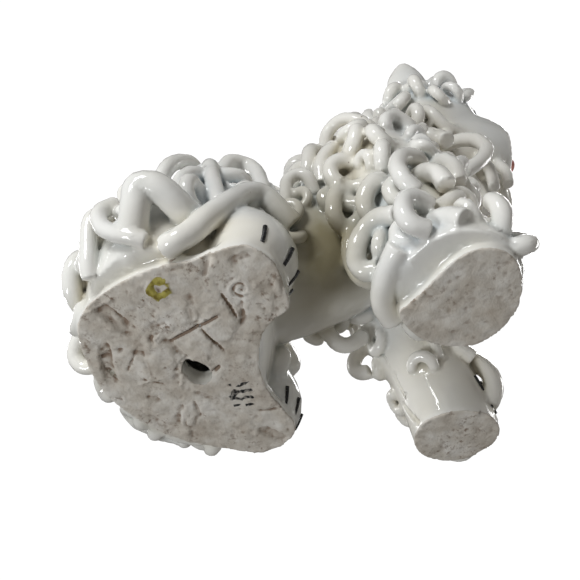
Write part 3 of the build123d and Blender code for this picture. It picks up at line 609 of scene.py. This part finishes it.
def ware_material(name):
    """Glazed earthenware, showing bare clay where the skin's bare mask says so."""
    material, shader, add, join = new_material(name)
    place = add("ShaderNodeTexCoord").outputs["Object"]
    crease = add("ShaderNodeAttribute", attribute_name="crevice").outputs["Fac"]
    pool_and_shade = add("ShaderNodeAttribute", attribute_name="pooling_and_shade").outputs["Fac"]
    mask = add("ShaderNodeAttribute", attribute_name="bare").outputs["Fac"]
    mask = ramp(add, mask, [(0.42, (0, 0, 0)), (0.58, (1, 1, 1))])
    glaze_colour, glaze_roughness, glaze_height = glaze_coat(add, place, crease, pool_and_shade)
    clay_colour, clay_height = bare_clay(add, place, crease)
    ink = add("ShaderNodeAttribute", attribute_name="ink").outputs["Fac"]
    streak = add("ShaderNodeTexNoise", {"Vector": place, "Scale": 420.0, "Detail": 4.0}).outputs["Fac"]
    streak = ramp(add, streak, [(0.38, (0.55, 0.55, 0.55)), (0.50, (1, 1, 1))])
    ink = ramp(add, ink, [(0.42, (0,)), (0.58, (1,))])
    ink = add("ShaderNodeMath", {0: ink, 1: streak}, operation="MULTIPLY").outputs[0]
    glue = add("ShaderNodeAttribute", attribute_name="glue").outputs["Fac"]
    glue = ramp(add, glue, [(0.42, (0,)), (0.58, (1,))])
    amber = add("ShaderNodeTexNoise", {"Vector": place, "Scale": 300.0, "Detail": 3.0}).outputs["Fac"]
    amber = ramp(add, amber, [(0.36, (0.20, 0.15, 0.02)), (0.62, (0.50, 0.44, 0.10))])
    colour = add("ShaderNodeMix", {0: mask, 6: glaze_colour, 7: clay_colour}, data_type="RGBA").outputs[2]
    colour = add("ShaderNodeMix", {0: glue, 6: colour, 7: amber}, data_type="RGBA").outputs[2]
    colour = add("ShaderNodeMix", {0: ink, 6: colour, 7: (0.012, 0.012, 0.014, 1)}, data_type="RGBA")
    join(colour.outputs[2], shader.inputs["Base Color"])
    roughness = add("ShaderNodeMix", {0: mask, 2: glaze_roughness, 3: 0.9}, data_type="FLOAT").outputs[0]
    roughness = add("ShaderNodeMix", {0: glue, 2: roughness, 3: 0.35}, data_type="FLOAT")
    join(roughness.outputs[0], shader.inputs["Roughness"])
    height = add("ShaderNodeMix", {0: mask, 2: glaze_height, 3: clay_height}, data_type="FLOAT")
    bump = add("ShaderNodeBump", {"Height": height.outputs[0], "Distance": 0.5 * MM, "Strength": 1.0})
    join(bump.outputs["Normal"], shader.inputs["Normal"])
    shader.inputs["IOR"].default_value = 1.5
    return material


def enamel_material(name, colour, roughness):
    """Brushed enamel: one colour, a little uneven where the brush ran thin."""
    material, shader, add, join = new_material(name)
    place = add("ShaderNodeTexCoord").outputs["Object"]
    streak = add("ShaderNodeTexNoise", {"Vector": place, "Scale": 400.0, "Detail": 4.0}).outputs["Fac"]
    thin = tuple(c * 1.9 + 0.012 for c in colour)
    join(ramp(add, streak, [(0.35, colour), (0.8, thin)]), shader.inputs["Base Color"])
    patchy = ramp(add, streak, [(0.3, (roughness * 0.7,)), (0.8, (roughness * 1.5,))])
    join(patchy, shader.inputs["Roughness"])
    bump = add("ShaderNodeBump", {"Height": streak, "Distance": 0.1 * MM, "Strength": 0.7})
    join(bump.outputs["Normal"], shader.inputs["Normal"])
    return material


GLAZE_LOOK = ware_material("white_glaze")
BISQUE_LOOK = ware_material("bisque")
BLACK_LOOK = enamel_material("black_enamel", (0.010, 0.010, 0.011), 0.25)
PINK_LOOK = enamel_material("pink_enamel", (0.60, 0.25, 0.22), 0.2)
INK_LOOK = ware_material("brushed_ink")
GLUE_LOOK = ware_material("old_glue")
LOOKS = {
    "white_glaze": GLAZE_LOOK,
    "bisque": BISQUE_LOOK,
    "black_enamel": BLACK_LOOK,
    "pink_enamel": PINK_LOOK,
    "old_glue": GLUE_LOOK,
}
SLOTS = {entry["node"]: entry["material_slot"] for entry in frame["record"]["subparts"]}


def dress(piece, slot_name):
    """Give a piece its slot's material."""
    piece.data.materials.clear()
    piece.data.materials.append(LOOKS[slot_name])


for index, node in enumerate(FUSED_NODES):
    piece = skin_piece(index, node)
    dress(piece, SLOTS[node])
    if node == "seat_tally":  # its brush strokes let the clay show between the bristle marks
        piece.data.materials[0] = INK_LOOK

for node in sorted(set(frame["nodes"]) - set(FUSED_NODES)):
    dress(frame["nodes"][node], SLOTS[node])

# ---------------------------------------------------------------------------------------------
# Studio
# ---------------------------------------------------------------------------------------------
camera_data = bpy.data.cameras.new("camera")
camera_data.lens = LENS
camera_data.sensor_width = 36
camera = bpy.data.objects.new("camera", camera_data)
aim = CAMERA_AIM.to_track_quat("-Z", "Y").to_matrix().to_4x4()
roll = Matrix.Rotation(math.radians(CAMERA_ROLL), 4, "Z")
camera.matrix_world = Matrix.Translation(CAMERA_PLACE) @ aim @ roll
camera_data.clip_start = 0.01
bpy.context.scene.collection.objects.link(camera)
bpy.context.scene.camera = camera


def soft_light(name, place, target, size, power, colour=(1, 1, 1)):
    """A square soft box."""
    data = bpy.data.lights.new(name, "AREA")
    data.shape = "SQUARE"
    data.size = size
    data.energy = power
    data.color = colour
    light = bpy.data.objects.new(name, data)
    facing = (Vector(target) - Vector(place)).to_track_quat("-Z", "Y").to_matrix().to_4x4()
    light.matrix_world = Matrix.Translation(place) @ facing
    bpy.context.scene.collection.objects.link(light)


MIDDLE = (0.0, 0.0, 0.12)
soft_light("key", (-0.85, 0.35, 0.10), MIDDLE, 0.26, 4.6, (0.97, 0.99, 1.0))
soft_light("window", (-0.35, 0.70, -0.75), MIDDLE, 0.22, 4.6, (0.95, 0.98, 1.0))
soft_light("overhead", (0.5, -0.5, 1.1), MIDDLE, 0.5, 5.0)
soft_light("back", (0.4, 0.9, 0.7), MIDDLE, 0.4, 3.0)
soft_light("front", (0.35, -1.0, 0.45), MIDDLE, 0.5, 5.0)

world = bpy.data.worlds.new("studio")
world.use_nodes = True
bpy.context.scene.world = world
background = world.node_tree.nodes["Background"]
background.inputs["Color"].default_value = (1.0, 0.96, 0.90, 1)
background.inputs["Strength"].default_value = 0.17
paper = world.node_tree.nodes.new("ShaderNodeBackground")
paper.inputs["Strength"].default_value = 1.05
seen = world.node_tree.nodes.new("ShaderNodeLightPath")
either = world.node_tree.nodes.new("ShaderNodeMixShader")
paper.inputs["Color"].default_value = (1, 1, 1, 1)
world.node_tree.links.new(seen.outputs["Is Camera Ray"], either.inputs[0])
world.node_tree.links.new(background.outputs[0], either.inputs[1])
world.node_tree.links.new(paper.outputs[0], either.inputs[2])
world.node_tree.links.new(either.outputs[0], world.node_tree.nodes["World Output"].inputs["Surface"])
bpy.context.scene.view_settings.view_transform = "Standard"

floor_mesh = bpy.data.meshes.new("floor")
REACH = 12.0  # from the middle of the floor to its edges
floor_corners = [(x * REACH, y * REACH, 0) for x, y in ((-1, -1), (1, -1), (1, 1), (-1, 1))]
floor_mesh.from_pydata(floor_corners, [], [(0, 1, 2, 3)])
floor = bpy.data.objects.new("floor", floor_mesh)
bpy.context.scene.collection.objects.link(floor)
material, shader, add, join = new_material("pale_floor")
shader.inputs["Base Color"].default_value = (0.86, 0.86, 0.85, 1)
shader.inputs["Roughness"].default_value = 0.8
shader.inputs["Emission Color"].default_value = (1, 1, 1, 1)
shader.inputs["Emission Strength"].default_value = 0.75
below = add("ShaderNodeNewGeometry").outputs["Backfacing"]
clear = add("ShaderNodeBsdfTransparent")
one_sided = add("ShaderNodeMixShader", {0: below, 1: shader.outputs[0], 2: clear.outputs[0]})
join(one_sided.outputs[0], material.node_tree.nodes["Material Output"].inputs["Surface"])
floor_mesh.materials.append(material)
floor.visible_shadow = False  # the underside is lit through the floor
floor.visible_diffuse = False
floor.visible_glossy = False

bpy.context.view_layer.update()
